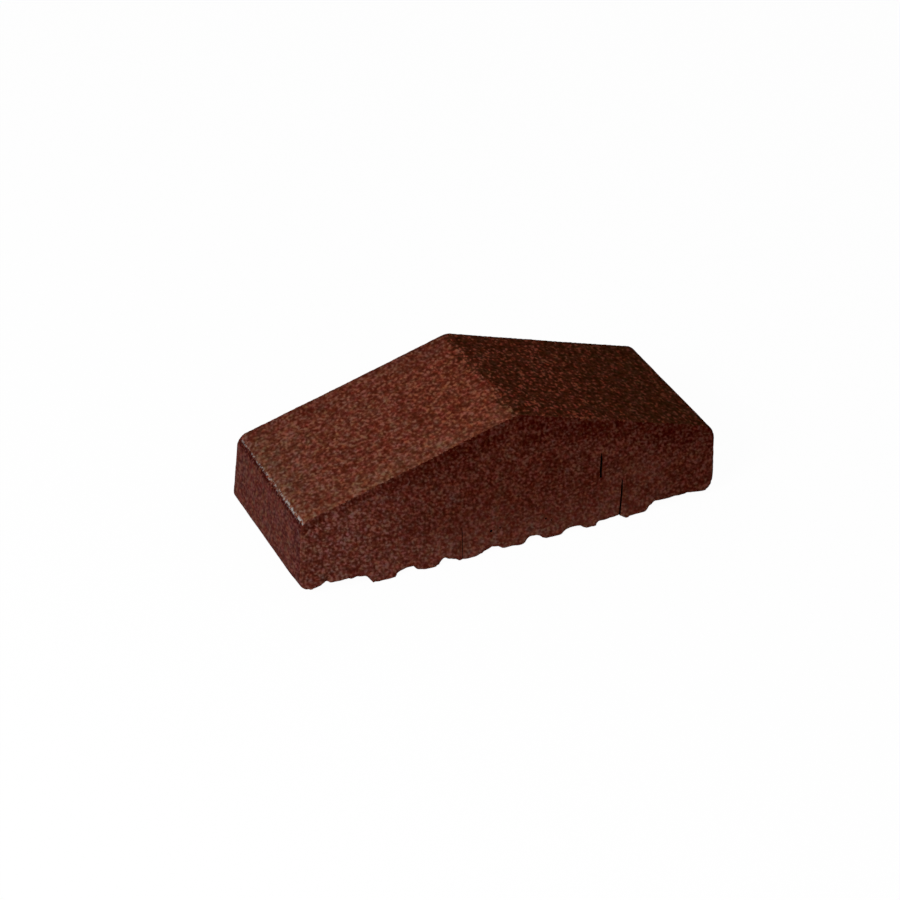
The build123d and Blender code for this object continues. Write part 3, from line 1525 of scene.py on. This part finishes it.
def brick_finishes() -> dict[Side, ClayFinish]:
    """Mix the five finishes of the brick.

    Returns:
        A finish for each side.
    """
    warm = Tone((0.054, 0.0082, 0.0032), (0.093, 0.0212, 0.0114), (0.170, 0.0610, 0.0380))
    # painted sheen near the left eave of the left slope
    olive_sheen = Tone((0.052, 0.0112, 0.0052), (0.088, 0.0290, 0.0160), (0.145, 0.0690, 0.0460))
    # painted sheen along the front of the left slope
    tan = Tone((0.062, 0.0125, 0.0055), (0.102, 0.0300, 0.0160), (0.170, 0.0720, 0.0450))
    amber = Tone((0.053, 0.0080, 0.0030), (0.092, 0.0190, 0.0090), (0.190, 0.0590, 0.0330))
    # painted shade of the right slope, also in a thin strip just before the ridge
    shaded_glaze = Tone((0.027, 0.0064, 0.0015), (0.064, 0.0143, 0.0066), (0.185, 0.0452, 0.0252), 0.62)
    # deeper painted shade on the far part of the right slope
    black = Tone((0.023, 0.0062, 0.0010), (0.050, 0.0128, 0.0056), (0.112, 0.0285, 0.0150), 0.64)
    purple = Tone((0.042, 0.0081, 0.0062), (0.067, 0.0169, 0.0125), (0.096, 0.0315, 0.0216))
    rose = Tone((0.046, 0.0086, 0.0058), (0.076, 0.0203, 0.0134), (0.112, 0.0396, 0.0268))
    plum = Tone((0.034, 0.0052, 0.0044), (0.055, 0.0125, 0.0102), (0.090, 0.0325, 0.0265))
    maroon = Tone((0.031, 0.0031, 0.0010), (0.055, 0.0108, 0.0059), (0.098, 0.0300, 0.0196))
    grey = Tone((0.052, 0.0083, 0.0042), (0.075, 0.0200, 0.0122), (0.122, 0.0460, 0.0310))
    # painted shade under the slopes, on the front face
    roof_shade = Tone((0.022, 0.0009, 0.0002), (0.038, 0.0052, 0.0023), (0.070, 0.0200, 0.0132))
    # paler tone: painted light on the left part of the front face, and the paler rib feet of the bed
    light = Tone((0.045, 0.0074, 0.0039), (0.081, 0.0198, 0.0125), (0.150, 0.0590, 0.0450))
    raw = Tone((0.050, 0.0120, 0.0070), (0.090, 0.0280, 0.0180), (0.150, 0.0600, 0.0430))
    dusk = Tone((0.045, 0.0066, 0.0026), (0.076, 0.0165, 0.0088), (0.140, 0.0480, 0.0300))
    sunny = (
        (Area.LEFT_EAVE, olive_sheen),
        (Area.NEAR_RIDGE, amber),
        (Area.FRONT_MARGIN, tan),
        (Area.BACK_MARGIN, dusk),
        (Area.PAST_RIDGE, shaded_glaze),
    )
    shaded_layers = ((Area.PAST_RIDGE, shaded_glaze), (Area.FAR_SLOPE, black))
    ends = ((Area.FIRE_CLOUDS, rose), (Area.END_BY_FRONT, plum))
    torn = ((Area.LOWER_PART, grey), (Area.LEFT_PART, light), (Area.UNDER_ROOF, roof_shade))
    bedded = ((Area.FIRE_CLOUDS, maroon), (Area.RIB_FEET, light))
    return {
        Side.SUNNY_SLOPE: ClayFinish(
            "glazed sunny slope", warm, sunny, run=(0.28, 0.96, 0.08), grain=1.24 * MM, stretch=1.15,
            roughness=0.6, specular=0.01,
        ),
        # the right slope, darkened by painted shade
        Side.FLASHED_SLOPE: ClayFinish(
            "glazed shaded slope", amber, shaded_layers, run=(0.62, 0.76, -0.18), grain=1.3 * MM, stretch=1.35
        ),
        Side.END: ClayFinish(
            "glazed end", purple, ends, run=(0.0, -0.81, 0.59), grain=1.15 * MM, stretch=1.45,
            roughness=0.65, specular=0.005,
        ),
        Side.CUT: ClayFinish(
            "wire-cut face", maroon, torn, run=(-0.75, 0.0, 0.66), grain=1.05 * MM, stretch=1.28,
            bump=0.12 * MM,
        ),
        Side.BED: ClayFinish(
            "ribbed bed", raw, bedded, run=(0.0, 1.0, 0.0), grain=1.4 * MM, stretch=1.6,
            roughness=0.8, specular=0.02, bump=0.3 * MM,
        ),
    }


def brick_body(section: Section) -> BrickBody:
    """Set out the brick with its own damage.

    Args:
        section: The brick's section.

    Returns:
        The brick, still to be built.
    """
    front = -section.depth / 2
    pitted = front + 0.9 * MM  # the front leans back, and lies here at the height of the pits
    upper = in_metres(((38.0, 32.9), (38.1, 28.0), (38.2, 21.8)))
    lower = in_metres(((48.1, 18.4), (48.2, 11.0), (47.8, 1.0)))
    hairline = in_metres(((-22.4, 15.5), (-21.9, 8.0), (-21.6, 0.2)))
    cracks = (
        Crack(upper, width=0.92 * MM, depth=4 * MM, seed=3),
        Crack(lower, width=0.8 * MM, depth=4 * MM, seed=4),
        Crack(hairline, width=0.25 * MM, depth=2 * MM, seed=5),
    )
    nicks = (
        Chip((-78.6 * MM, front, 6.2 * MM), (0.9 * MM, 1.2 * MM, 0.9 * MM), turn=0.2, seed=2),
        Chip((-21.1 * MM, front, 0.2 * MM), (0.6 * MM, 1.0 * MM, 0.6 * MM), turn=0.5, seed=3),
        Chip((63.0 * MM, front, 3.9 * MM), (0.7 * MM, 1.0 * MM, 0.5 * MM), turn=0.1, seed=4),
    )
    pits = (
        Chip((-9.6 * MM, pitted, 10.0 * MM), (0.65 * MM, 0.9 * MM, 0.6 * MM), seed=5),
        Chip((-5.7 * MM, pitted, 10.4 * MM), (0.35 * MM, 0.6 * MM, 0.35 * MM), seed=6),
        Chip((14.4 * MM, pitted, 9.3 * MM), (0.45 * MM, 0.6 * MM, 0.45 * MM), seed=7),
        Chip((16.8 * MM, pitted, 8.1 * MM), (0.4 * MM, 0.6 * MM, 0.4 * MM), seed=8),
    )
    glazed = (Side.SUNNY_SLOPE, Side.FLASHED_SLOPE, Side.END)
    reliefs = (
        Relief("wavy", (*glazed, Side.CUT), grain=12 * MM, height=0.2 * MM, layers=1),
        Relief("glaze_peel", glazed, grain=2.2 * MM, height=0.12 * MM),
        Relief("wire_drag", (Side.CUT,), grain=2.0 * MM, height=0.22 * MM),
        Relief("bed_drag", (Side.BED,), grain=3.0 * MM, height=0.25 * MM),
    )
    chips = nicks + knocks(section, count=26, seed=7)
    return BrickBody(section, FRONT_EDGE, WARP, chips, cracks, pits, reliefs)


def main() -> None:
    """Build the brick, dress it and set up the studio."""
    low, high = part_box(NODE)
    section = Section(high.x - low.x, high.y - low.y, high.z - low.z)
    body = brick_body(section)
    brick = body.build()
    log.info("%s: %d faces", brick.name, len(brick.data.polygons))
    BrickDresser(section, body.warp, brick_finishes()).dress(brick)
    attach(brick, "root")
    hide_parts(NODE)
    Studio(floor_level=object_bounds()[0].z).build()
    log.info("studio: floor, key light and camera")
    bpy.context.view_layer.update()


if __name__ == "__main__":
    logging.basicConfig(level=logging.INFO, format="%(message)s")
    main()
